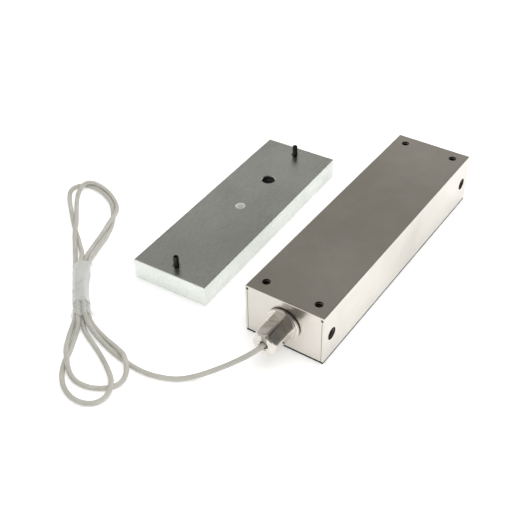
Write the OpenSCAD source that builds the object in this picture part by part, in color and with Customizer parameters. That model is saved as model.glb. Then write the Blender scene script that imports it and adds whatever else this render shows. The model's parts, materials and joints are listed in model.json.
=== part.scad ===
// Magnetic door lock: a surface magnet in a folded steel housing with a cable gland and a lead,
// and the loose armature plate that it holds.
// Origin: centre of the magnet's pole face. +Y runs along the magnet away from the gland,
// +X points to the side with the side holes, +Z points to the mounting back.

/* [Magnet housing] */
// Length of the housing, front to back
housing_l = 217; // [210:1:240]
// Width of the housing
housing_w = 60; // [59:1:64]
// Height of the housing with its sealing bead
housing_h = 40; // [40:1:46]
// Thickness of the folded sheet
sheet_t = 1.5; // [1:0.25:2]
// Outer radius of the folds
bend_r = 0.8; // [0.5:0.1:1.5]
// Height of the sealing bead under the sheet's edge
bead_h = 1.8; // [1:0.1:2.4]

/* [Magnet mounting] */
// Distance of every mounting hole from the housing's end
hole_inset_y = 10; // [9.5:0.5:11]
// Distance of the top holes from the housing's side
hole_inset_x = 10; // [9:0.5:11]
// Height of the side holes above the pole face
side_hole_z = 20; // [19:0.5:21]
// Radius of the top screw holes, tapping size
top_hole_r = 2.5; // [2.1:0.1:2.6]
// Radius of the side screw holes, tapping size
side_hole_r = 4.25; // [3.4:0.05:4.3]

/* [Core and coil] */
// Length of the lamination stack
core_l = 148; // [120:2:150]
// Width of the core's middle leg
mid_leg_w = 18; // [16:1:20]
// Width of each slot for the coil
slot_w = 9.5; // [8:0.5:10]
// Depth of each slot
slot_h = 17; // [15:1:18]
// Thickness of the yoke that joins the legs
yoke_h = 9; // [8:1:10]

/* [Cable gland] */
// Height of the gland's axis above the pole face
gland_z = 21; // [20:0.5:22]
// Diameter of the round flange
flange_d = 25; // [24:0.5:26]
// Width across flats of the body and of the nut
gland_af = 17; // [16.5:0.5:18]
// Length from the housing to the end of the nut
gland_l = 24; // [23:0.5:26]

/* [Cable] */
// Diameter of the lead
cable_d = 3.5; // [3:0.1:4]
// Place of the tied hank's middle, from the middle of the housing's front face
hank_at = [-152, -31.5];
// Direction of the hank's length, anticlockwise from +X
hank_angle = 133; // [131:1:135]
// Length of the film that ties the hank
tie_l = 58; // [52:1:64]

/* [Armature plate] */
// Length of the plate
plate_l = 185; // [180:1:190]
// Width of the plate
plate_w = 61; // [58:1:62]
// Thickness of the plate
plate_t = 17; // [14:0.5:18]
// Place of the plate's middle beside the magnet
plate_at = [-100.5, -14.5];
// Turn of the plate where it lies
plate_yaw = 2; // [-4:1:4]
// Radius of the bush's bore in the plate's middle
centre_hole_r = 3.3; // [2.7:0.1:4.5]
// Radius of the threaded hole, tapping size
thread_hole_r = 5.1; // [4.2:0.1:5.2]
// Distance of the threaded hole from the plate's middle
thread_hole_y = 41; // [30:1:60]
// Diameter of the guide pins
pin_d = 4; // [3:0.5:5]
// Height of the guide pins above the plate
pin_h = 8.5; // [6:0.5:14]
// Distance of each guide pin from the plate's end
pin_inset = 10; // [8:1:14]

/* [Hidden] */
$fn = 64;
front_y = -housing_l / 2;
inner_w = housing_w - 2 * sheet_t;
inner_l = housing_l - 2 * sheet_t;
inner_top = housing_h - sheet_t;
hole_x = housing_w / 2 - hole_inset_x;
hole_y = housing_l / 2 - hole_inset_y;
bead_inset = 0.2;
bead_gap = 0.1;
seam_w = 0.3;
relief_r = 1;
sheet_hole_play = 0.3;
top_hole_play = 0.4;

core_h = slot_h + yoke_h;
rivet_r = 2;
rivet_x = inner_w / 2 - 5;
rivet_heights = [6, core_h - 4.5];
rivet_head_r = 3.2;
rivet_head_h = 1.5;

coil_z = 3;
bobbin_t = 0.8;
coil_reach = slot_w;
coil_top = slot_h;

block_l = 17;
block_z = 6;
top_hole_depth = 12.5;
side_hole_end = 14;

gasket_t = 0.8;
flange_t = 2;
body_hex_l = 6;
nut_gap = 0.3;
spigot_r = 7;
nut_play = 0.08;
shank_r = 8;
shank_l = 12;
locknut_l = 5;
locknut_af = 22;
locknut_pocket_r = 13.2;
pocket_play = 0.2;
wire_way_r = 4;
gland_bore_r = 2.6;
seat_r = 5;
seat_at = 12;
seal_end = 19.6;
seal_play = 0.05;
spigot_end = 19.8;
clamp_r = 5.5;
clamp_end = 22;
nut_cavity_r = 5.8;
nut_wall_at = 22.3;
nut_hole_r = 3.1;
nut_end_r = 7.6;
nut_cone = 1;
hex_turn = 75;

board_size = [44, 50, 1.6];
board_y = -45;
board_z = core_h + 3;
spacer_r = 2.5;
spacer_inset = 4;
varistor_r = 5;
varistor_h = 4;
varistor_x = 9;
varistor_foot_h = 0.8;
varistor_foot_r = 0.4;
lead_r = 0.6;
lead_z = board_z + board_size[2] + lead_r;
lead_end_y = board_y - 15;
coil_lead_x = 6;
supply_lead_x = 0.9;
supply_rise_y = front_y + 21;

lay_z = cable_d / 2 + 0.05;
hank_h = 2 * cable_d + 0.2;
tie_t = 0.5;
neck_w = 3 * cable_d + 0.3;
neck_end_r = 7;
tie_shift = -4.5;
rear_neck_v = tie_shift + tie_l / 2 + neck_end_r;
front_neck_v = tie_shift - tie_l / 2 - neck_end_r;

head_recess_r = 7;
head_recess_h = 9;
bush_wall = 0.45;
bush_drop = 0.1;
edge_chamfer = 0.4;
thread_chamfer = 0.5;
pin_mouth_r = 3;
pin_mouth_h = 1.5;
chamfer_over = 0.5;
pin_y = plate_l / 2 - pin_inset;
pin_depth = 12;
pin_step = 0.25;
pin_chamfer = 0.5;
pin_groove_w = 0.7;
pin_groove_at = 1.3;
pin_dimple_r = 1.1;
pin_dimple_h = 1.2;

// Route of the lead, from the middle of the housing's front face to where the hank starts
cable_route = [
    [0, 0, gland_z], [0, -8, gland_z], [0, -16, gland_z], [-0.2, -24, gland_z - 0.1],
    [-1.6, -27.7, gland_z - 0.6], [-4.2, -31.9, gland_z - 1.3], [-9.5, -38, gland_z - 3.7],
    [-15.5, -43.5, gland_z - 8.2], [-22, -48.5, 7.7], [-29, -54.5, 3.5], [-36, -60.5, lay_z],
    [-43.5, -65.5, lay_z], [-52.5, -68.5, lay_z], [-61, -69.9, lay_z], [-67, -70.3, lay_z],
    [-72.5, -70.1, lay_z]
];
cable_sides = 8;

// Discs that the loops fit round: across the hank, along it, radius
rear_loops = [[4, 117, 14], [14, 95, 17], [17, 80, 12], [1, rear_neck_v, neck_end_r]];
front_loops = [[4, -97, 17], [17, -86, 15], [15, -72, 12], [1, front_neck_v, neck_end_r]];

// A flat-bottomed outline with rounded upper corners
module bent_outline(w, h, r) {
    translate([-w / 2, 0]) square([w, h - r]);
    translate([-w / 2 + r, 0]) square([w - 2 * r, h]);
    for (side = [-1, 1]) translate([side * (w / 2 - r), h - r]) circle(r);
}

// A flat-bottomed outline with cut corners all round
module cut_outline(w, h, c) {
    polygon([
        [-w / 2, c], [-w / 2 + c, 0], [w / 2 - c, 0], [w / 2, c],
        [w / 2, h - c], [w / 2 - c, h], [-w / 2 + c, h], [-w / 2, h - c]
    ]);
}

// Pushes an outline in X and Z along Y
module along_y(l) {
    rotate([90, 0, 0]) linear_extrude(l, center = true) children();
}

// Pushes an outline in Y and Z along X
module along_x(l) {
    rotate([90, 0, 90]) linear_extrude(l, center = true) children();
}

// A box centred in X and Y that stands at height z
module slab(w, l, z, h) {
    translate([-w / 2, -l / 2, z]) cube([w, l, h]);
}

// A rounded rectangle centred on the origin
module round_rect(w, l, r) {
    square([w, l - 2 * r], center = true);
    square([w - 2 * r, l], center = true);
    for (x = [-1, 1], y = [-1, 1]) translate([x * (w / 2 - r), y * (l / 2 - r)]) circle(r);
}

// Puts a shape on the gland's axis, s outside the housing, with +Z pointing outwards
module on_gland(s) {
    translate([0, front_y - s, gland_z]) rotate([90, 0, 0]) children();
}

module hex(af, h) {
    rotate([0, 0, hex_turn]) cylinder(d = af / cos(30), h = h, $fn = 6);
}

module at_top_holes(end) {
    for (side = [-1, 1]) translate([side * hole_x, end * hole_y, 0]) children();
}

// ---- magnet housing ----

module housing_shell() {
    sheet_h = housing_h - bead_h;
    seam_x = inner_w / 2 - seam_w / 2;
    color("#a8a49c") difference() {
        translate([0, 0, bead_h]) intersection() {
            along_y(housing_l) bent_outline(housing_w, sheet_h, bend_r);
            along_x(housing_w) bent_outline(housing_l, sheet_h, bend_r);
        }
        slab(inner_w, inner_l, 0, inner_top);
        for (end = [-1, 1], side = [-1, 1]) {
            translate([side * seam_x - seam_w / 2, end * housing_l / 2 - sheet_t, 0])
                cube([seam_w, 2 * sheet_t, inner_top - relief_r]);
            translate([side * seam_x, end * housing_l / 2, inner_top - relief_r])
                rotate([90, 0, 0]) cylinder(r = relief_r, h = 2.4 * sheet_t, center = true);
        }
        for (end = [-1, 1]) at_top_holes(end) translate([0, 0, inner_top - 1])
            cylinder(r = top_hole_r + top_hole_play, h = sheet_t + 2);
        for (end = [-1, 1]) translate([inner_w / 2 - 1, end * hole_y, side_hole_z])
            rotate([0, 90, 0]) cylinder(r = side_hole_r + sheet_hole_play, h = sheet_t + 2);
        on_gland(-sheet_t - 1) cylinder(r = shank_r + sheet_hole_play, h = sheet_t + 2);
    }
}

module edge_bead() {
    color("#26261f") difference() {
        slab(housing_w - 2 * bead_inset, housing_l - 2 * bead_inset, bead_gap, bead_h - bead_gap);
        slab(inner_w, inner_l, 0, bead_h + 1);
    }
}

module core_outline() {
    difference() {
        translate([-inner_w / 2, 0]) square([inner_w, core_h]);
        for (side = [-1, 1])
            translate([side * (mid_leg_w + slot_w) / 2 - slot_w / 2, -1])
                square([slot_w, slot_h + 1]);
    }
}

module at_rivets() {
    for (side = [-1, 1], z = rivet_heights)
        translate([side * rivet_x, 0, z]) rotate([90, 0, 0]) children();
}

module core_laminations() {
    color("#8a8c8e") difference() {
        along_y(core_l) core_outline();
        at_rivets() cylinder(r = rivet_r, h = core_l + 2, center = true);
    }
}

module core_rivets() {
    color("#b5b2aa") at_rivets() {
        cylinder(r = rivet_r, h = core_l, center = true);
        for (end = [-1, 1]) translate([0, 0, end * (core_l + rivet_head_h) / 2])
            cylinder(r = rivet_head_r, h = rivet_head_h, center = true);
    }
}

// Ring round the middle leg: reach is how far it stands out from the bobbin's inner wall
module coil_ring(inner_gap, reach, r, z, h) {
    difference() {
        translate([0, 0, z]) linear_extrude(h)
            round_rect(mid_leg_w + 2 * reach, core_l + 2 * reach, r);
        slab(mid_leg_w + 2 * inner_gap, core_l + 2 * inner_gap, z - 1, h + 2);
    }
}

module coil_bobbin() {
    color("#d8d2bc") {
        coil_ring(0, bobbin_t, 0.4, coil_z, coil_top - coil_z);
        coil_ring(0, coil_reach, 6, coil_z, bobbin_t);
        coil_ring(0, coil_reach, 6, coil_top - bobbin_t, bobbin_t);
    }
}

module coil_winding() {
    color("#a8562a")
        coil_ring(bobbin_t, coil_reach - 0.5, 6, coil_z + bobbin_t,
            coil_top - coil_z - 2 * bobbin_t);
}

module block_body(end) {
    translate([-inner_w / 2, end > 0 ? inner_l / 2 - block_l : -inner_l / 2, block_z])
        cube([inner_w, block_l, inner_top - block_z]);
}

module block_screw_holes(end) {
    at_top_holes(end) translate([0, 0, inner_top - top_hole_depth])
        cylinder(r = top_hole_r, h = top_hole_depth + 1);
    translate([side_hole_end, end * hole_y, side_hole_z])
        rotate([0, 90, 0]) cylinder(r = side_hole_r, h = inner_w);
}

module front_mount_block() {
    color("#9c9a94") difference() {
        block_body(-1);
        block_screw_holes(-1);
        on_gland(-sheet_t - locknut_l - pocket_play)
            cylinder(r = locknut_pocket_r, h = locknut_l + 1);
        on_gland(-shank_l - pocket_play) cylinder(r = shank_r + pocket_play, h = shank_l);
        on_gland(-sheet_t - block_l - 1) cylinder(r = wire_way_r, h = block_l);
    }
}

module rear_mount_block() {
    color("#9c9a94") difference() {
        block_body(1);
        block_screw_holes(1);
    }
}

module potting_resin() {
    color("#1f2326") difference() {
        slab(inner_w, inner_l, 0, core_h);
        along_y(core_l) core_outline();
        slab(mid_leg_w + 2 * coil_reach, core_l + 2 * coil_reach, coil_z, coil_top - coil_z);
        at_rivets() cylinder(r = rivet_head_r, h = core_l + 2 * rivet_head_h, center = true);
        for (end = [-1, 1]) block_body(end);
        coil_lead_paths();
        supply_lead_paths();
    }
}

// ---- electrical parts inside ----

module circuit_board() {
    color("#2f6b3c") translate([0, board_y, 0])
        slab(board_size[0], board_size[1], board_z, board_size[2]);
}

module board_spacers() {
    spacer_x = board_size[0] / 2 - spacer_inset;
    spacer_y = board_size[1] / 2 - spacer_inset;
    color("#e8e6dc") for (x = [-1, 1], y = [-1, 1])
        translate([x * spacer_x, board_y + y * spacer_y, core_h])
            cylinder(r = spacer_r, h = board_z - core_h);
}

module varistor() {
    color("#2c63a8") translate([varistor_x, board_y, board_z + board_size[2]]) {
        translate([0, 0, varistor_foot_h]) cylinder(r = varistor_r, h = varistor_h);
        for (side = [-1, 1]) translate([side * varistor_r / 2, 0, 0])
            cylinder(r = varistor_foot_r, h = varistor_foot_h);
    }
}

// A wire that rises from z at y and then runs back over the board
module rising_wire(x, y, z) {
    translate([x, y, z]) cylinder(r = lead_r, h = lead_z - z);
    translate([x, y, lead_z]) sphere(lead_r);
    translate([x, lead_end_y, lead_z]) rotate([90, 0, 0])
        cylinder(r = lead_r, h = lead_end_y - y);
}

module coil_lead_paths() {
    for (side = [-1, 1]) rising_wire(side * coil_lead_x, -core_l / 2 - slot_w / 2, coil_top);
}

module coil_leads() {
    color("#c0392b") coil_lead_paths();
}

module supply_lead_paths() {
    for (side = [-1, 1]) {
        translate([side * supply_lead_x, supply_rise_y, gland_z]) {
            rotate([90, 0, 0]) cylinder(r = lead_r, h = supply_rise_y - front_y);
            sphere(lead_r);
        }
        rising_wire(side * supply_lead_x, supply_rise_y, gland_z);
    }
}

module supply_leads() {
    color("#303030") supply_lead_paths();
}

// ---- cable gland ----

module gland_body() {
    hex_at = gasket_t + flange_t;
    color("#c9c5bd") difference() {
        union() {
            on_gland(-shank_l) cylinder(r = shank_r, h = shank_l + gasket_t);
            on_gland(gasket_t) cylinder(r = flange_d / 2, h = flange_t);
            on_gland(hex_at) hex(gland_af, body_hex_l);
            on_gland(hex_at) cylinder(r = spigot_r, h = spigot_end - hex_at);
        }
        on_gland(-shank_l - 1) cylinder(r = gland_bore_r, h = shank_l + spigot_end + 2);
        on_gland(seat_at) cylinder(r = seat_r, h = spigot_end - seat_at + 1);
    }
}

module gland_gasket() {
    color("#1c1c1c") difference() {
        on_gland(0) cylinder(r = flange_d / 2 - 0.2, h = gasket_t);
        on_gland(-1) cylinder(r = shank_r, h = gasket_t + 2);
    }
}

module gland_locknut() {
    color("#b9b09a") difference() {
        on_gland(-sheet_t - locknut_l) hex(locknut_af, locknut_l);
        on_gland(-sheet_t - locknut_l - 1) cylinder(r = shank_r, h = locknut_l + 2);
    }
}

module gland_seal() {
    color("#2a2a2a") difference() {
        on_gland(seat_at) cylinder(r = seat_r - seal_play, h = seal_end - seat_at);
        on_gland(seat_at - 1) cylinder(r = cable_d / 2 + seal_play, h = seal_end - seat_at + 2);
    }
}

module gland_clamp() {
    clamp_at = spigot_end + nut_gap;
    color("#e4e1d6") difference() {
        on_gland(clamp_at) cylinder(r = clamp_r, h = clamp_end - clamp_at);
        on_gland(clamp_at - 1) cylinder(r = gland_bore_r, h = clamp_end - clamp_at + 2);
    }
}

module gland_nut() {
    nut_at = gasket_t + flange_t + body_hex_l + nut_gap;
    nut_l = gland_l - nut_at;
    color("#cfcbc3") difference() {
        intersection() {
            on_gland(nut_at) hex(gland_af, nut_l);
            on_gland(nut_at) cylinder(r1 = nut_end_r + nut_l * nut_cone, r2 = nut_end_r, h = nut_l);
        }
        on_gland(nut_at - 1)
            cylinder(r = spigot_r + nut_play, h = spigot_end + nut_gap + 1 - nut_at);
        on_gland(nut_at) cylinder(r = nut_cavity_r, h = nut_wall_at - nut_at);
        on_gland(nut_at) cylinder(r = nut_hole_r, h = nut_l + 1);
    }
}

// ---- lead ----

function unit(v) = v / norm(v);
function heading(p, i) =
    unit(p[min(i + 1, len(p) - 1)] - p[max(i - 1, 0)]);
function ring_at(p, i, r, sides) =
    let (t = heading(p, i), side = unit(cross(t, [0, 0, 1])), up = cross(side, t))
    [for (k = [0:sides - 1]) p[i] + r * (cos(360 * k / sides) * side + sin(360 * k / sides) * up)];

// A tube swept along the points p
module tube(p, r, sides) {
    rings = len(p);
    points = [for (i = [0:rings - 1]) each ring_at(p, i, r, sides)];
    walls = [for (i = [0:rings - 2], k = [0:sides - 1])
        let (a = i * sides + k, b = i * sides + (k + 1) % sides)
        each [[a, a + sides, b + sides], [a, b + sides, b]]];
    first_cap = [for (k = [0:sides - 1]) k];
    last_cap = [for (k = [sides - 1:-1:0]) (rings - 1) * sides + k];
    polyhedron(points, concat([first_cap], walls, [last_cap]));
}

module cable() {
    color("#c6c3b8") translate([0, front_y, 0]) tube(cable_route, cable_d / 2, cable_sides);
}

// Turns u (across) and v (along) of the hank into place
module at_hank() {
    translate([hank_at[0], front_y + hank_at[1], 0]) rotate([0, 0, hank_angle - 90]) children();
}

// Outer shape of the loops on one side of the tie
module loops(discs) {
    linear_extrude(hank_h) hull() for (d = discs) translate([d[0], d[1]]) circle(d[2], $fn = 32);
}

module cable_hank() {
    color("#c6c3b8") at_hank() {
        loops(rear_loops);
        loops(front_loops);
        translate([0, tie_shift, 0])
            slab(neck_w, tie_l + neck_end_r, tie_t, hank_h - 2 * tie_t);
    }
}

module cable_tie() {
    color("#dcddd8") at_hank() translate([0, tie_shift, 0]) difference() {
        along_y(tie_l) cut_outline(neck_w + 2 * tie_t, hank_h, tie_t);
        slab(neck_w, tie_l + 2, tie_t, hank_h - 2 * tie_t);
    }
}

// ---- armature plate ----

module on_plate() {
    translate([plate_at[0], plate_at[1], 0]) rotate([0, 0, plate_yaw]) children();
}

// A 45 degree edge on a hole through the plate's upper face
module countersink(r, depth) {
    translate([0, 0, plate_t - depth])
        cylinder(r1 = r, r2 = r + depth + chamfer_over, h = depth + chamfer_over);
}

module armature_plate() {
    color("#9ba09a") on_plate() difference() {
        intersection() {
            along_y(plate_l) cut_outline(plate_w, plate_t, edge_chamfer);
            along_x(plate_w) cut_outline(plate_l, plate_t, edge_chamfer);
        }
        translate([0, 0, -1]) cylinder(r = centre_hole_r + bush_wall, h = plate_t + 2);
        translate([0, 0, -1]) cylinder(r = head_recess_r, h = head_recess_h + 1);
        translate([0, thread_hole_y, -1]) cylinder(r = thread_hole_r, h = plate_t + 2);
        translate([0, thread_hole_y, 0]) countersink(thread_hole_r, thread_chamfer);
        for (end = [-1, 1]) translate([0, end * pin_y, 0]) {
            translate([0, 0, plate_t - pin_depth])
                cylinder(r = pin_d / 2 - pin_step, h = pin_depth + 1);
            translate([0, 0, plate_t - pin_mouth_h])
                cylinder(r = pin_mouth_r, h = pin_mouth_h + 1);
        }
    }
}

module centre_bush() {
    color("#e6e7e2") on_plate() translate([0, 0, head_recess_h]) difference() {
        cylinder(r = centre_hole_r + bush_wall, h = plate_t - head_recess_h - bush_drop);
        translate([0, 0, -1]) cylinder(r = centre_hole_r, h = plate_t);
    }
}

// A stepped pin with a groove along it, pressed into the plate as far as its step
module guide_pin() {
    difference() {
        union() {
            translate([0, 0, -pin_depth]) cylinder(r = pin_d / 2 - pin_step, h = pin_depth);
            cylinder(r = pin_d / 2, h = pin_h - pin_chamfer);
            translate([0, 0, pin_h - pin_chamfer])
                cylinder(r1 = pin_d / 2, r2 = pin_d / 2 - pin_chamfer, h = pin_chamfer);
        }
        translate([pin_groove_at, -pin_groove_w / 2, -pin_depth - 1])
            cube([pin_d, pin_groove_w, pin_depth + pin_h + 2]);
        translate([0, 0, pin_h - pin_dimple_h]) cylinder(r = pin_dimple_r, h = pin_dimple_h + 1);
    }
}

module guide_pins() {
    color("#3a3a38") on_plate() for (end = [-1, 1])
        translate([0, end * pin_y, plate_t]) guide_pin();
}

housing_shell();
edge_bead();
core_laminations();
core_rivets();
coil_bobbin();
coil_winding();
potting_resin();
front_mount_block();
rear_mount_block();
circuit_board();
board_spacers();
varistor();
coil_leads();
supply_leads();
gland_body();
gland_gasket();
gland_locknut();
gland_seal();
gland_clamp();
gland_nut();
cable();
cable_hank();
cable_tie();
armature_plate();
centre_bush();
guide_pins();
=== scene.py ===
import json
import math

import bpy
import numpy as np
from mathutils import Matrix, Vector


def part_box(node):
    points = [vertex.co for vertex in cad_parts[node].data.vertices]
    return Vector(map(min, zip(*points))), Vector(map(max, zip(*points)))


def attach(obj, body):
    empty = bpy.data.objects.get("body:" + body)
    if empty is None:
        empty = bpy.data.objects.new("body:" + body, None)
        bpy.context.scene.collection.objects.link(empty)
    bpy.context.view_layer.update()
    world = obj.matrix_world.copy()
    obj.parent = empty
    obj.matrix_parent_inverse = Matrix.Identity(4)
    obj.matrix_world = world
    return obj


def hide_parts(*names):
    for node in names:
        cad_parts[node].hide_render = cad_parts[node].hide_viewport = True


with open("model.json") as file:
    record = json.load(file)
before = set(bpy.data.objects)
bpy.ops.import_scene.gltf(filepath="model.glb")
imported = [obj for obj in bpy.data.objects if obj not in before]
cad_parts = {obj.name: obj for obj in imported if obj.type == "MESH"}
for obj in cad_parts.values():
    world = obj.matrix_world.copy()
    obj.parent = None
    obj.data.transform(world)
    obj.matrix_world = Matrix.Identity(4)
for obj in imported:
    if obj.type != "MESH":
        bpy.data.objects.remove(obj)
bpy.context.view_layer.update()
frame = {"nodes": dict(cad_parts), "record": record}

MM = 0.001
MICRON_PLACES = 6

# The gland leaves the housing's end here and points along -Y, and its nut ends at NUT_END.
# They are rounded to a micrometre, because the frame's corners are single precision.
GLAND_Y = round(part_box("housing_shell")[0].y, MICRON_PLACES)
GLAND_Z = round(sum(corner.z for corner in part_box("gland_nut")) / 2, MICRON_PLACES)


# ---- camera ----

SENSOR_MM = 36


def make_camera(at, heading, pitch, roll, lens):
    """heading turns from +Y towards -X, pitch is down, all in degrees."""
    h, p, r = (math.radians(a) for a in (heading, pitch, roll))
    right = Vector((math.cos(h), math.sin(h), 0))
    ahead = Vector((-math.sin(h) * math.cos(p), math.cos(h) * math.cos(p), -math.sin(p)))
    up = right.cross(ahead)
    side = math.cos(r) * right + math.sin(r) * up
    top = -math.sin(r) * right + math.cos(r) * up
    data = bpy.data.cameras.new("camera")
    data.lens = lens
    data.sensor_width = SENSOR_MM
    data.clip_start = 0.01
    data.clip_end = 20
    camera = bpy.data.objects.new("camera", data)
    camera.matrix_world = Matrix((
        (side.x, top.x, -ahead.x, at[0]),
        (side.y, top.y, -ahead.y, at[1]),
        (side.z, top.z, -ahead.z, at[2]),
        (0, 0, 0, 1)))
    bpy.context.scene.collection.objects.link(camera)
    bpy.context.scene.camera = camera


make_camera(at=(0.22921, -0.46277, 0.42641), heading=35.281, pitch=39.49, roll=-1.483, lens=63.68)


# ---- mesh helpers ----

def add_mesh(name, verts, faces, smooth_angle=None):
    """A new mesh object, smooth up to smooth_angle degrees, or flat where there is none."""
    mesh = bpy.data.meshes.new(name)
    mesh.from_pydata([tuple(v) for v in verts], [], faces)
    mesh.update()
    obj = bpy.data.objects.new(name, mesh)
    bpy.context.scene.collection.objects.link(obj)
    if smooth_angle is not None:
        smooth(obj, smooth_angle)
    return obj


def smooth(obj, angle):
    mesh = obj.data
    mesh.polygons.foreach_set("use_smooth", [True] * len(mesh.polygons))
    mesh.set_sharp_from_angle(angle=math.radians(angle))
    mesh.update()


def sweep(name, centres, ring, up=(0, 0, 1)):
    """A closed ring of (side, up) points swept along the centres, with flat ends."""
    centres = np.array(centres, float)
    ahead = np.gradient(centres, axis=0)
    ahead /= np.linalg.norm(ahead, axis=1)[:, None]
    side = np.cross(ahead, np.array(up, float))
    side /= np.linalg.norm(side, axis=1)[:, None]
    rise = np.cross(side, ahead)
    ring = np.array(ring, float)
    verts = (centres[:, None] + ring[None, :, :1] * side[:, None]
             + ring[None, :, 1:] * rise[:, None]).reshape(-1, 3)
    n, rows = len(ring), len(centres)
    faces = [(i * n + k, i * n + (k + 1) % n, (i + 1) * n + (k + 1) % n, (i + 1) * n + k)
             for i in range(rows - 1) for k in range(n)]
    faces.append(tuple(range(n))[::-1])
    faces.append(tuple((rows - 1) * n + k for k in range(n)))
    return add_mesh(name, verts, faces, smooth_angle=50)


def circle(radius, sides):
    turns = [2 * math.pi * k / sides for k in range(sides)]
    return [(radius * math.cos(a), radius * math.sin(a)) for a in turns]


# ---- the lead: one cord from inside the gland, along the floor and through the tied hank ----

CORD_D = 3.5 * MM
CORD_SIDES = 16
CORD_STEP = 1.2 * MM
HANK_AT = (-0.152, -0.140)
HANK_ANGLE = 133

# The route, as in part.scad. From the gland to the hank: x, y, z in the frame
LEAD_MM = [
    (0, -108.5, 21), (0, -116.5, 21), (0, -124.5, 21), (-0.2, -132.5, 20.9),
    (-1.6, -136.2, 20.4), (-4.2, -140.4, 19.7), (-9.5, -146.5, 17.3),
    (-15.5, -152, 12.8), (-22, -157, 7.7), (-29, -163, 3.5), (-36, -169, 1.8),
    (-43.5, -174, 1.8), (-52.5, -177, 1.8),
]

# Through the hank: across it, along it, height
HANK_MM = [
    (42, -92, 1.8), (39, -89.5, 1.8), (35, -86, 1.8), (31.5, -82, 1.8), (28, -77.5, 1.8),
    (24, -73, 1.8), (19, -66, 2), (15.5, -60, 3), (13, -56, 4.2), (9.3, -49, 4.6), (5.5, -41, 4.8),
    (3.2, -33, 4.9), (2.6, -24, 4.8), (1.8, -12, 4.8), (1.6, 2, 4.8), (2.2, 14, 4.8),
    (4.6, 24, 4.2), (8, 32, 2.8), (12, 41, 1.9), (18, 52, 1.8), (22.6, 64, 1.8),
    (25.6, 78, 1.8), (26, 91, 1.8), (23.8, 103, 1.8), (19, 114, 1.8), (12, 123.5, 1.8),
    (4, 129, 1.8), (-3, 129, 1.8), (-8, 125, 1.8), (-9, 116, 1.8), (-8, 101, 1.8),
    (-6, 85, 1.8), (-3.5, 66, 1.8), (-1, 52, 2.2), (1, 41, 4), (1.6, 32, 5), (0.2, 20, 4.9),
    (-1.8, 6, 4.8), (-2, -8, 4.8), (-1.4, -20, 4.8), (-0.8, -31, 5), (-1, -39, 4.8),
    (-3.6, -48, 2.9), (-5.8, -57, 1.8), (-8, -65, 1.8), (-10.6, -71, 1.8), (-12.2, -78, 1.8),
    (-12.8, -87, 1.8), (-11.2, -95, 1.8), (-8, -102, 1.8), (-4, -107, 1.8), (1, -110.4, 1.8),
    (7, -112, 1.8), (12.5, -111, 1.8), (17, -107.5, 3), (19.4, -102, 5), (19.6, -96, 5),
    (18, -87, 2.8), (15.6, -78, 1.8), (12, -68, 1.8), (8, -58.5, 1.8), (3.6, -49, 1.8),
    (1.2, -42, 1.8), (0.6, -34, 1.8), (0.5, -22, 1.8), (0, -6, 1.8), (-0.2, 10, 1.8),
    (1, 22, 1.8), (3, 32, 1.8), (6.4, 40, 1.9), (11, 49, 2.6), (16.4, 58, 4), (22.4, 68, 5.3),
    (26.8, 78, 4.6), (29, 89, 2.6), (28, 100, 1.9), (23.6, 112, 3), (16.6, 122, 4.8),
    (8.6, 127.6, 5.3), (2, 127, 4.8), (-1.6, 119, 2.8), (-2.8, 105, 1.9), (-3, 94, 2.6),
    (-3, 85, 3.8), (-3, 75, 5.1), (-3.4, 66, 5.3), (-3.8, 56, 4.6), (-4, 46, 2.6),
    (-4, 34, 1.8), (-3.9, 20, 1.8), (-3.8, 4, 1.8), (-3.8, -10, 1.8), (-3.3, -22, 1.8),
    (-3.4, -31, 1.8), (-6, -40, 1.8), (-8.2, -49, 2.5), (-9.2, -59, 4.2), (-9.3, -68, 5.3),
    (-9, -77, 4.6), (-7.6, -84, 3), (-4.4, -90, 1.9), (0, -94.6, 1.8), (6, -98, 1.8),
    (12, -99.8, 1.8), (18, -100.4, 1.8), (23, -99.4, 1.8), (27, -96, 2.2), (29.4, -90, 3.4),
    (29.8, -84, 4.9), (28.8, -77.5, 5.3), (26, -70, 3.4), (21.4, -62, 1.9), (16.4, -55.5, 1.8),
    (12, -48.6, 1.8), (8, -41, 1.8), (5, -33, 1.8), (4.2, -22, 1.8), (3.8, -10, 1.8), (3.7, 4, 1.8),
    (3.8, 11, 1.8), (4.1, 17, 1.8),
]


def from_hank(u, v, z):
    """A point in mm across, along and above the hank, as a place in metres."""
    a = math.radians(HANK_ANGLE)
    return (HANK_AT[0] + (u * math.sin(a) + v * math.cos(a)) * MM,
            HANK_AT[1] + (v * math.sin(a) - u * math.cos(a)) * MM, z * MM)


def resample(points, step):
    """Points a step apart along the line through the given ones."""
    far = np.concatenate([[0], np.cumsum(np.linalg.norm(np.diff(points, axis=0), axis=1))])
    at = np.linspace(0, far[-1], int(round(far[-1] / step)) + 1)
    return np.column_stack([np.interp(at, far, points[:, k]) for k in range(3)])


def curve_through(points, step):
    """A smooth curve through the points (centripetal Catmull-Rom), evenly stepped."""
    p = np.array(points, float)
    p = np.vstack([2 * p[0] - p[1], p, 2 * p[-1] - p[-2]])
    per_span = 24
    out = []
    for i in range(1, len(p) - 2):
        q = p[i - 1:i + 3]
        t = np.concatenate([[0], np.cumsum(np.linalg.norm(np.diff(q, axis=0), axis=1) ** 0.5)])
        for x in np.linspace(t[1], t[2], per_span, endpoint=False):
            a = [((t[k + 1] - x) * q[k] + (x - t[k]) * q[k + 1]) / (t[k + 1] - t[k])
                 for k in range(3)]
            b = [((t[k + 2] - x) * a[k] + (x - t[k]) * a[k + 1]) / (t[k + 2] - t[k])
                 for k in range(2)]
            out.append(((t[2] - x) * b[0] + (x - t[1]) * b[1]) / (t[2] - t[1]))
    out.append(p[-2])
    return resample(np.array(out), step)


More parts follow.
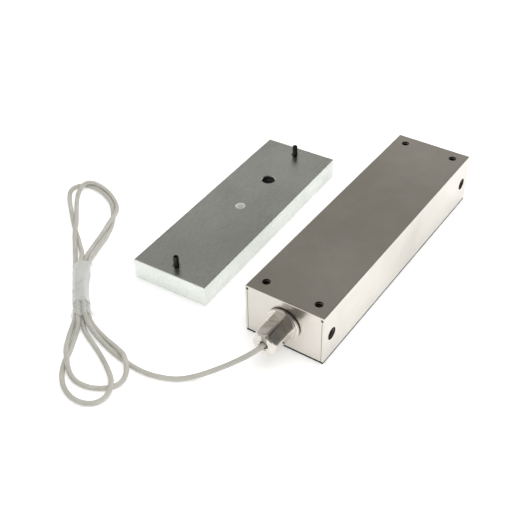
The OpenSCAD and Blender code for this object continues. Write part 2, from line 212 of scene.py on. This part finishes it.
def settle(points, fixed, rounds=160):
    """Rounds bends off, lets the cord sink to the floor, and keeps its strands a diameter apart."""
    near_pull, wide_pull, route_pull = 0.2, 0.1, 0.04
    wide_by = 3
    pushes = 3
    sink = 0.01 * MM
    apart = 1.01 * CORD_D
    lowest = CORD_D / 2 + 0.02 * MM
    # only points this far apart along the cord, and this close to each other, can touch
    along_at_least, across_at_most = 3.2 * CORD_D, 2.2 * CORD_D

    start, p = points.copy(), points.copy()
    skip = int(round(along_at_least / np.linalg.norm(p[1] - p[0])))
    i, j = np.triu_indices(len(p), skip)
    near = np.linalg.norm(start[i][:, :2] - start[j][:, :2], axis=1) < across_at_most
    i, j = i[near], j[near]
    for _ in range(rounds):
        close, wide = p.copy(), p.copy()
        close[1:-1] = (p[:-2] + p[2:]) / 2
        wide[wide_by:-wide_by] = (p[:-2 * wide_by] + p[2 * wide_by:]) / 2
        p = p + near_pull * (close - p) + wide_pull * (wide - p)
        p[:, :2] += route_pull * (start[:, :2] - p[:, :2])
        p[:, 2] -= sink
        for _ in range(pushes):
            gap = p[j] - p[i]
            dist = np.linalg.norm(gap, axis=1)
            hit = dist < apart
            push = (apart - dist[hit])[:, None] * gap[hit] / np.maximum(dist[hit], 1e-9)[:, None]
            move, count = np.zeros_like(p), np.zeros(len(p))
            np.add.at(move, j[hit], push / 2)
            np.add.at(move, i[hit], -push / 2)
            np.add.at(count, j[hit], 1)
            np.add.at(count, i[hit], 1)
            p = p + move / np.maximum(count, 1)[:, None]
            p[:, 2] = np.maximum(p[:, 2], lowest)
        p[fixed] = start[fixed]
    return p


def cord_path():
    # the first stretch runs inside the gland and stays as drawn
    as_drawn = 26 * MM
    points = [tuple(c * MM for c in p) for p in LEAD_MM] + [from_hank(*p) for p in HANK_MM]
    line = curve_through(points, CORD_STEP)
    fixed = np.linalg.norm(line - line[0], axis=1) < as_drawn
    return settle(line, fixed)


path = cord_path()
cord = sweep("lead", path, circle(CORD_D / 2, CORD_SIDES))


# ---- materials ----

# Nearly all of a noise's values lie between these
NOISE_LOW, NOISE_HIGH = 0.3, 0.7


class Nodes:
    """Short names for building a material's nodes."""

    def __init__(self, name):
        self.material = bpy.data.materials.new(name)
        self.material.use_nodes = True
        self.tree = self.material.node_tree
        self.shader = self.tree.nodes["Principled BSDF"]
        self.place = self.tree.nodes.new("ShaderNodeTexCoord").outputs["Object"]

    def add(self, kind, **settings):
        node = self.tree.nodes.new(kind)
        for key, value in settings.items():
            setattr(node, key, value)
        return node

    def link(self, a, b):
        self.tree.links.new(a, b)

    def stretch(self, scale, turn=0):
        """The object's own coordinates, scaled per axis and turned about Z."""
        node = self.add("ShaderNodeMapping")
        node.inputs["Scale"].default_value = scale
        node.inputs["Rotation"].default_value = (0, 0, math.radians(turn))
        self.link(self.place, node.inputs["Vector"])
        return node.outputs["Vector"]

    def noise(self, scale, vector=None, detail=4, rough=0.6):
        node = self.add("ShaderNodeTexNoise")
        node.inputs["Scale"].default_value = scale
        node.inputs["Detail"].default_value = detail
        node.inputs["Roughness"].default_value = rough
        self.link(vector or self.place, node.inputs["Vector"])
        return node.outputs["Fac"]

    def ramp(self, value, low, high, out_low, out_high):
        """Takes low..high to out_low..out_high, and no further."""
        node = self.add("ShaderNodeMapRange")
        for key, number in zip(("From Min", "From Max", "To Min", "To Max"),
                               (low, high, out_low, out_high)):
            node.inputs[key].default_value = number
        self.link(value, node.inputs["Value"])
        return node.outputs["Result"]

    def mix(self, factor, a, b):
        """Mixes two colours, each a tuple or a socket."""
        colour_a, colour_b, colour_out = 6, 7, 2
        node = self.add("ShaderNodeMix", data_type="RGBA")
        self.link(factor, node.inputs["Factor"])
        for socket, value in ((node.inputs[colour_a], a), (node.inputs[colour_b], b)):
            if isinstance(value, tuple):
                socket.default_value = (*value, 1)
            else:
                self.link(value, socket)
        return node.outputs[colour_out]

    def bump(self, height, strength, distance):
        """Adds a bump on top of those before it."""
        node = self.add("ShaderNodeBump")
        node.inputs["Strength"].default_value = strength
        node.inputs["Distance"].default_value = distance
        self.link(height, node.inputs["Height"])
        if self.shader.inputs["Normal"].links:
            self.link(self.shader.inputs["Normal"].links[0].from_socket, node.inputs["Normal"])
        self.link(node.outputs["Normal"], self.shader.inputs["Normal"])

    def set(self, **values):
        """Sets the shader's sockets by name, each to a number, a colour or another socket."""
        for key, value in values.items():
            socket = self.shader.inputs[key.replace("_", " ")]
            if hasattr(value, "is_output"):
                self.link(value, socket)
            elif isinstance(value, tuple):
                socket.default_value = (*value, 1)
            else:
                socket.default_value = value


def metal(name, dark, light, rough, grain=(1, 1, 1), grain_scale=900, grain_depth=0.004,
          cloud=18, turn=0, scuff=0.12):
    """Metal with soft cloudy colour, a fine grain along one way, small scuffs and a slight waviness.

    grain_scale and cloud: higher is finer. grain_depth: mm. scuff: how strong, 0 to 1."""
    scuff_scale, wave_scale, wave_depth = 260, 30, 0.03 * MM
    n = Nodes(name)
    clouds = n.noise(cloud, detail=5)
    lines = n.noise(grain_scale, n.stretch(grain, turn), detail=2)
    scuffs = n.noise(scuff_scale, n.stretch((1, 0.35, 1), 20), detail=6, rough=0.7)
    scuff_colour = tuple(0.6 * c for c in dark)
    colour = n.mix(n.ramp(clouds, NOISE_LOW, NOISE_HIGH, 0, 1), dark, light)
    colour = n.mix(n.ramp(scuffs, 0.58, 0.72, 0, scuff), colour, scuff_colour)
    n.set(Metallic=1.0, Base_Color=colour,
          Roughness=n.ramp(lines, 0.25, 0.75, rough - 0.025, rough + 0.03))
    n.bump(lines, 0.25, grain_depth * MM)
    n.bump(n.noise(wave_scale, detail=3), 0.2, wave_depth)
    return n.material


def plastic(name, dark, light, rough, speck=700, depth=0.01, cloud=40, shine=0.5):
    """Plastic, rubber or resin with cloudy colour and a fine matt skin depth mm deep."""
    n = Nodes(name)
    n.set(Specular_IOR_Level=shine)
    clouds = n.ramp(n.noise(cloud, detail=4), NOISE_LOW, NOISE_HIGH, 0, 1)
    n.set(Base_Color=n.mix(clouds, dark, light),
          Roughness=n.ramp(n.noise(speck), 0.25, 0.75, rough - 0.05, rough + 0.07))
    n.bump(n.noise(speck, detail=3), 0.4, depth * MM)
    return n.material


def film(name, dark, light, alpha):
    """Thin see-through film with soft folds across it."""
    fold_scale, fold_depth = 120, 0.05 * MM
    n = Nodes(name)
    folds = n.noise(fold_scale, n.stretch((1, 0.5, 1), 40), detail=3, rough=0.5)
    n.set(Base_Color=n.mix(n.ramp(folds, NOISE_LOW, NOISE_HIGH, 0, 1), dark, light),
          Roughness=n.ramp(folds, NOISE_LOW, NOISE_HIGH, 0.22, 0.36), Alpha=alpha)
    n.bump(folds, 0.3, fold_depth)
    return n.material


# By material slot. gland_nut and tie_film_end are finishes within another's slot; the threads'
# near-black metal, also within another's slot, is painted shade for the inside of their holes
MATERIALS = {
    "stainless_sheet": metal("satin_sheet", (0.58, 0.555, 0.505), (0.78, 0.75, 0.695), 0.24,
                             grain=(1, 0.05, 1), grain_depth=0.001, cloud=9, scuff=0.06),
    "plated_steel_plate": metal("ground_plate", (0.66, 0.69, 0.655), (0.82, 0.85, 0.815), 0.28,
                                grain=(1, 0.06, 1), grain_depth=0.0008, turn=-2, scuff=0.1),
    "plated_brass": metal("bright_plating", (0.66, 0.625, 0.58), (0.80, 0.77, 0.72), 0.15,
                          grain_scale=500, cloud=120),
    "gland_nut": metal("bright_turned_plating", (0.66, 0.625, 0.58), (0.80, 0.77, 0.72), 0.13,
                       grain=(0.03, 1, 0.03), grain_scale=700, grain_depth=0.04, cloud=120),
    "core_steel": metal("core_edges", (0.30, 0.31, 0.32), (0.42, 0.43, 0.44), 0.4,
                        grain=(0.02, 1, 1), grain_scale=2500, grain_depth=0.05),
    "plain_steel": metal("plain_steel", (0.25, 0.24, 0.22), (0.38, 0.36, 0.33), 0.38),
    # near-black metal for the threads: it paints the shade inside the tapped holes
    "painted_shade_thread": metal("painted_shade_thread", (0.06, 0.06, 0.055), (0.12, 0.12, 0.11), 0.4),
    "pale_plastic": plastic("pale_plastic", (0.90, 0.90, 0.88), (0.96, 0.96, 0.94), 0.35, cloud=200),
    "black_steel": metal("black_steel", (0.035, 0.035, 0.033), (0.09, 0.09, 0.085), 0.42,
                         grain=(1, 1, 0.05), grain_scale=1500),
    "copper_wire": metal("copper", (0.55, 0.22, 0.10), (0.75, 0.36, 0.18), 0.3,
                         grain=(1, 1, 0.1), grain_scale=1800, grain_depth=0.1),
    "black_sealant": plastic("black_sealant", (0.010, 0.010, 0.009), (0.03, 0.03, 0.027), 0.8,
                             shine=0.15),
    "bobbin_plastic": plastic("natural_nylon", (0.72, 0.69, 0.60), (0.82, 0.80, 0.72), 0.45),
    "resin": plastic("potting_resin", (0.008, 0.009, 0.011), (0.02, 0.022, 0.025), 0.22),
    "board": plastic("board", (0.02, 0.10, 0.04), (0.03, 0.15, 0.06), 0.35),
    "varistor": plastic("varistor", (0.02, 0.07, 0.25), (0.04, 0.12, 0.36), 0.25),
    "red_insulation": plastic("red_insulation", (0.38, 0.02, 0.015), (0.5, 0.04, 0.03), 0.4),
    "black_insulation": plastic("black_insulation", (0.015, 0.015, 0.015), (0.04, 0.04, 0.04), 0.4),
    "rubber": plastic("rubber", (0.012, 0.012, 0.012), (0.03, 0.03, 0.03), 0.6),
    "clamp_plastic": plastic("clamp_plastic", (0.70, 0.68, 0.60), (0.80, 0.78, 0.72), 0.4),
    "cable_sheath": plastic("sheath", (0.47, 0.462, 0.415), (0.58, 0.57, 0.52), 0.5, cloud=60),
    "tie_film": film("tie_film", (0.62, 0.63, 0.61), (0.70, 0.71, 0.69), 0.86),
    "tie_film_end": film("tie_film_end", (0.74, 0.75, 0.73), (0.84, 0.85, 0.83), 0.36),
}

slots = {s["node"]: s["material_slot"] for s in frame["record"]["subparts"]}
for node, obj in frame["nodes"].items():
    obj.data.materials.clear()
    obj.data.materials.append(MATERIALS[slots[node]])

EDGE_MM = {"housing_shell": 0.14, "armature_plate": 0.14, "guide_pins": 0.12}
for node, width in EDGE_MM.items():
    bevel = frame["nodes"][node].modifiers.new("soft_edges", "BEVEL")
    bevel.width = width * MM
    bevel.segments = 2
    bevel.limit_method = "ANGLE"
    bevel.angle_limit = math.radians(35)
    bevel.use_clamp_overlap = True


def dress(obj, material, body="magnet"):
    """Gives a new piece its material and the body it rides on."""
    obj.data.materials.append(MATERIALS[material])
    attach(obj, body)


# ---- the film that ties the hank: it wraps the strands it finds ----

HANK_HALF_MM = 14


def strands_at(v):
    """Where the cord crosses the hank at v, as (across, height) in mm."""
    a = math.radians(HANK_ANGLE)
    d = (path[:, :2] - np.array(HANK_AT)) / MM
    across = d[:, 0] * math.sin(a) - d[:, 1] * math.cos(a)
    along = d[:, 0] * math.cos(a) + d[:, 1] * math.sin(a)
    found = []
    for i in range(len(path) - 1):
        step = along[i + 1] - along[i]
        if (along[i] - v) * (along[i + 1] - v) <= 0 and abs(step) > 1e-9:
            t = (v - along[i]) / step
            u = across[i] + t * (across[i + 1] - across[i])
            if abs(u) < HANK_HALF_MM:
                found.append((u, (path[i, 2] + t * (path[i + 1, 2] - path[i, 2])) / MM))
    return found


def outline_round(points, radius, count):
    """The taut outline round circles at the points, as count points from its lowest one."""
    directions = 720
    out = []
    for k in range(directions):
        a = 2 * math.pi * (k + 0.5) / directions - math.pi / 2
        n = np.array((math.cos(a), math.sin(a)))
        best = max(points, key=lambda p: p[0] * n[0] + p[1] * n[1])
        out.append(np.array(best) + radius * n)
    out = np.array(out + [out[0]])
    far = np.concatenate([[0], np.cumsum(np.linalg.norm(np.diff(out, axis=0), axis=1))])
    at = np.linspace(0, far[-1], count, endpoint=False)
    return np.column_stack([np.interp(at, far, out[:, k]) for k in range(2)])


def wrap(name, v_from, v_to, gap, crease, ragged, count=96, rows=48):
    """A film round the strands from v_from to v_to along the hank. All sizes are in mm.

    gap: from the strands. crease: depth of its wrinkles. ragged: depth of its lower edge."""
    reach = (-5, -2.5, 0, 2.5, 5)
    smoothing = 8
    lowest = 0.06
    places = [v_from + (v_to - v_from) * i / rows for i in range(rows + 1)]
    rings = []
    for v in places:
        # a ring also covers the strands just before and after it, so that no end pokes through
        held = [p for step in reach for p in strands_at(v + step)]
        rings.append(outline_round(held, CORD_D / MM / 2 + gap, count))
    rings = np.array(rings)
    for _ in range(smoothing):
        rings[1:-1] = (rings[:-2] + rings[1:-1] + rings[2:]) / 3
    verts = []
    for i, ring in enumerate(rings):
        middle = ring.mean(axis=0)
        for k, (u, z) in enumerate(ring):
            a = 2 * math.pi * k / count
            out = np.array((u, z)) - middle
            out /= np.linalg.norm(out)
            # two waves that cross make the wrinkles
            wave = math.sin(3 * a + 0.35 * i) * math.sin(0.23 * i + 1)
            wave += 0.6 * math.sin(7 * a - 0.5 * i)
            u, z = np.array((u, z)) + out * crease * (wave + 1.6) * 0.5
            tooth = 0.5 + 0.5 * math.sin(a * 2 + 0.6) + 0.3 * math.sin(5 * a)
            edge = ragged * (1 - i / rows) ** 2 * tooth
            verts.append(from_hank(u, places[i] + edge, max(z, lowest)))
    faces = [(i * count + k, i * count + (k + 1) % count, (i + 1) * count + (k + 1) % count,
              (i + 1) * count + k) for i in range(rows) for k in range(count)]
    return add_mesh(name, verts, faces, smooth_angle=180)


tie = wrap("tie_film", v_from=-19, v_to=24.5, gap=0.15, crease=0.12, ragged=1.5)
tail = wrap("tie_film_end", v_from=-33.5, v_to=-17, gap=0.2, crease=0.25, ragged=4)
dress(tie, "tie_film")
dress(tail, "tie_film_end")
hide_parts("cable_tie")

dress(cord, "cable_sheath")
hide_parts("cable", "cable_hank")


# ---- gland: each piece is a list of rings, (mm out from the housing, radius in mm) ----

HEXAGON = 17
RING_STEPS = 360


def gland_mesh(name, rings, steps, angle=30):
    """Closed rings given as (distance from the housing, radius at each step round the axis)."""
    verts = []
    for s, radii in rings:
        for k in range(steps):
            a = 2 * math.pi * k / steps
            r = radii[k] if hasattr(radii, "__len__") else radii
            verts.append((r * math.sin(a) * MM, GLAND_Y - s * MM, GLAND_Z + r * math.cos(a) * MM))
    rows = len(rings)
    faces = [(i * steps + k, (i + 1) % rows * steps + k, (i + 1) % rows * steps + (k + 1) % steps,
              i * steps + (k + 1) % steps) for i in range(rows) for k in range(steps)]
    return add_mesh(name, verts, faces, smooth_angle=angle)


def hexagon(across_flats, steps, rounding=34):
    """Radius at each step of a hexagon with rounded corners, one of them 15 degrees from +Z to +X."""
    first_flat, sides = 45, 6
    out = []
    for k in range(steps):
        a = 360 * k / steps
        towards = [math.cos(math.radians(a - first_flat - 60 * side)) for side in range(sides)]
        total = sum(max(0, c) ** rounding for c in towards)
        out.append(across_flats / 2 / total ** (1 / rounding))
    return np.array(out)


def hex_rings(s_from, s_to, start_r, end_r, slope):
    """Rings of a hexagon whose ends are turned to a cone: start_r and end_r at its two faces."""
    flat = hexagon(HEXAGON, RING_STEPS)
    depth = max(0.02, (flat.max() - min(start_r, end_r)) / slope)
    places = [s_from + depth * t for t in (0, 0.25, 0.5, 0.75, 1)]
    places += [s_to - depth * t for t in (1, 0.75, 0.5, 0.25, 0)]
    return [(s, np.minimum(flat, min(start_r + (s - s_from) * slope, end_r + (s_to - s) * slope)))
            for s in places]


def make_gland():
    bore = [(19.8, 5.0), (12, 5.0), (12, 2.6), (-11.8, 2.6), (-11.8, 7.8)]
    crest, root = 8.0, 7.4
    inner_end, quarter_pitch, quarters = -11.5, 0.25, 42
    ridges = [(inner_end + k * quarter_pitch, crest if k % 4 in (1, 2) else root)
              for k in range(quarters)]
    flange = [(-0.9, 7.9), (0.8, 7.9), (0.82, 12.3), (1.05, 12.5), (2.35, 12.5), (2.8, 12.05),
              (2.8, 10.9), (2.55, 10.75), (2.55, 10.35), (2.8, 10.2), (2.8, 9.5)]
    spigot = [(8.8, 7.0), (19.5, 7.0), (19.8, 6.7)]
    body = gland_mesh("gland_body_turned", [
        *bore, *ridges, *flange,
        *hex_rings(s_from=2.85, s_to=8.8, start_r=9.2, end_r=9.3, slope=1.8), *spigot], RING_STEPS)
    nut_bore = [(24, 4.1), (23.6, 3.75), (23.6, 3.3), (23.4, 3.12), (22.3, 3.12), (22.3, 5.8),
                (20.1, 5.8), (20.1, 7.08), (9.1, 7.08)]
    nut = gland_mesh("gland_nut_turned", [
        *hex_rings(s_from=9.1, s_to=24, start_r=9.3, end_r=7.6, slope=1), *nut_bore], RING_STEPS)
    gasket = gland_mesh("gland_gasket_turned", [
        (0.02, 8.02), (0.02, 12.1), (0.2, 12.3), (0.6, 12.3), (0.78, 12.1), (0.78, 8.02)], 180)
    dress(body, "plated_brass")
    dress(nut, "gland_nut", body="gland_nut")
    dress(gasket, "rubber")
    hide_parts("gland_body")
    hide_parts("gland_nut")
    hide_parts("gland_gasket")


make_gland()


# ---- threads in the tapped holes ----

def thread(name, start, axis, length, radius, pitch, depth, body):
    """A helical ridge on the wall of a hole, from start inwards along axis.

    start is in metres and the other sizes are in mm."""
    per_turn = 40
    foot, tip, lead_in = 0.42 * pitch, 0.06 * pitch, 0.45 * pitch
    axis = Vector(axis).normalized()
    one = axis.orthogonal().normalized()
    two = axis.cross(one)
    count = int(length / pitch * per_turn)
    verts = []
    for k in range(count + 1):
        a = 2 * math.pi * k / per_turn
        out = math.cos(a) * one + math.sin(a) * two
        fade = min(1, k / per_turn, (count - k) / per_turn)
        crest = radius - depth * fade
        far = lead_in + k / per_turn * pitch
        for r, s in ((radius, -foot), (crest, -tip), (crest, tip), (radius, foot)):
            verts.append(Vector(start) + out * r * MM + axis * (s + far) * MM)
    faces = [(4 * k + m, 4 * k + m + 1, 4 * k + m + 5, 4 * k + m + 4)
             for k in range(count) for m in range(3)]
    obj = add_mesh(name, verts, faces, smooth_angle=25)
    # the thread's near-black metal paints the shade inside its hole
    dress(obj, "painted_shade_thread", body=body)


def make_threads():
    """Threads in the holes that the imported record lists, a little in from their mouths."""
    holes = {m["name"]: m for m in frame["record"]["mounts"]}
    inset = 0.1 * MM

    top = holes["mounting_holes"]
    x = top["dims"]["spacing_x_mm"] / 2 * MM
    y = top["dims"]["spacing_y_mm"] / 2 * MM
    z = top["pos_m"][2] - inset
    for i, at in enumerate(((-x, -y, z), (x, -y, z), (-x, y, z), (x, y, z))):
        thread("top_thread_%d" % i, at, (0, 0, -1), length=11.5, radius=top["dims"]["hole_r_mm"],
               pitch=1, depth=0.45, body="magnet")

    side = holes["side_holes"]
    x = side["pos_m"][0] - inset
    y = side["dims"]["spacing_x_mm"] / 2 * MM
    z = side["pos_m"][2]
    for i, at in enumerate(((x, -y, z), (x, y, z))):
        thread("side_thread_%d" % i, at, (-1, 0, 0), length=13, radius=side["dims"]["hole_r_mm"],
               pitch=1.5, depth=0.7, body="magnet")

    tapped = holes["plate_threaded_hole"]
    x, y, middle = tapped["pos_m"]
    mouth = middle + tapped["dims"]["length_mm"] / 2 * MM
    thread("plate_thread", (x, y, mouth - inset / 2), (0, 0, -1), length=14.2,
           radius=tapped["dims"]["r_mm"], pitch=1.75, depth=0.8, body="plate")


make_threads()


# ---- floor, light ----

def make_floor():
    edge, cloud_scale = 3, 3
    corners = [(-edge, -edge, 0), (edge, -edge, 0), (edge, edge, 0), (-edge, edge, 0)]
    floor = add_mesh("floor", corners, [(0, 1, 2, 3)])
    n = Nodes("floor")
    paper = n.mix(n.noise(cloud_scale), (0.93, 0.93, 0.93), (0.95, 0.95, 0.95))
    n.set(Base_Color=paper, Roughness=0.9, Emission_Color=(1, 1, 1), Emission_Strength=0.35)
    floor.data.materials.append(n.material)


# How bright the surroundings are, as (height, level), from the horizon at 0 to straight up at 1
SKY = ((0.1, 1.0), (0.2, 0.86), (0.36, 0.66), (0.43, 0.5), (0.5, 0.26), (0.56, 0.25), (0.7, 0.33),
       (0.8, 0.1), (0.88, 0.12), (0.95, 0.5))
SKY_HORIZON = 1
SKY_TOP = 0.8
# A dark card stands on the +X side above the horizon: (axis, where it starts, where it is full)
CARD = (("X", 0.25, 0.6), ("Z", 0.2, 0.34))
CARD_LEAVES = 0.3


def warm(level):
    """A grey of this level, a little warmer the darker it is."""
    return (level, level * (0.95 + 0.05 * level), level * (0.86 + 0.14 * level), 1)


def make_world():
    world = bpy.data.worlds.new("studio")
    bpy.context.scene.world = world
    world.use_nodes = True
    tree = world.node_tree
    back = tree.nodes["Background"]
    place = tree.nodes.new("ShaderNodeTexCoord")
    split = tree.nodes.new("ShaderNodeSeparateXYZ")
    ramp = tree.nodes.new("ShaderNodeValToRGB")
    tree.links.new(place.outputs["Generated"], split.inputs[0])
    tree.links.new(split.outputs["Z"], ramp.inputs["Fac"])
    tree.links.new(ramp.outputs["Color"], back.inputs["Color"])
    stops = ramp.color_ramp.elements
    stops[0].position, stops[0].color = 0, (SKY_HORIZON, SKY_HORIZON, SKY_HORIZON, 1)
    stops[1].position, stops[1].color = 1, (SKY_TOP, SKY_TOP, SKY_TOP, 1)
    for at, level in SKY:
        stop = stops.new(at)
        stop.color = warm(level)

    card = tree.nodes.new("ShaderNodeMath")
    card.operation = "MULTIPLY"
    for side, (axis, start, full) in enumerate(CARD):
        edge = tree.nodes.new("ShaderNodeMapRange")
        edge.inputs["From Min"].default_value = start
        edge.inputs["From Max"].default_value = full
        tree.links.new(split.outputs[axis], edge.inputs["Value"])
        tree.links.new(edge.outputs["Result"], card.inputs[side])
    strength = tree.nodes.new("ShaderNodeMapRange")
    strength.inputs["To Min"].default_value = 1.0
    strength.inputs["To Max"].default_value = CARD_LEAVES
    tree.links.new(card.outputs[0], strength.inputs["Value"])
    tree.links.new(strength.outputs["Result"], back.inputs["Strength"])


def area(name, at, target, size, power, shine=False):
    """A soft light of size (width, height) in metres; with shine it shows in reflections."""
    data = bpy.data.lights.new(name, "AREA")
    data.shape = "RECTANGLE"
    data.size, data.size_y = size
    data.energy = power
    light = bpy.data.objects.new(name, data)
    light.location = at
    light.rotation_euler = (Vector(target) - Vector(at)).to_track_quat("-Z", "Y").to_euler()
    light.visible_glossy = shine
    bpy.context.scene.collection.objects.link(light)


make_floor()
make_world()
area("overhead", at=(0.3, 0.2, 1.6), target=(0, 0, 0), size=(2.4, 2.4), power=27)
area("side", at=(1.3, 0.4, 1.0), target=(0.15, 0.05, 0), size=(1.2, 1.2), power=4)
area("front", at=(-0.8, -1.2, 1.05), target=(-0.05, -0.1, 0), size=(1.1, 0.7), power=1, shine=True)
bpy.context.scene.view_settings.view_transform = "Standard"
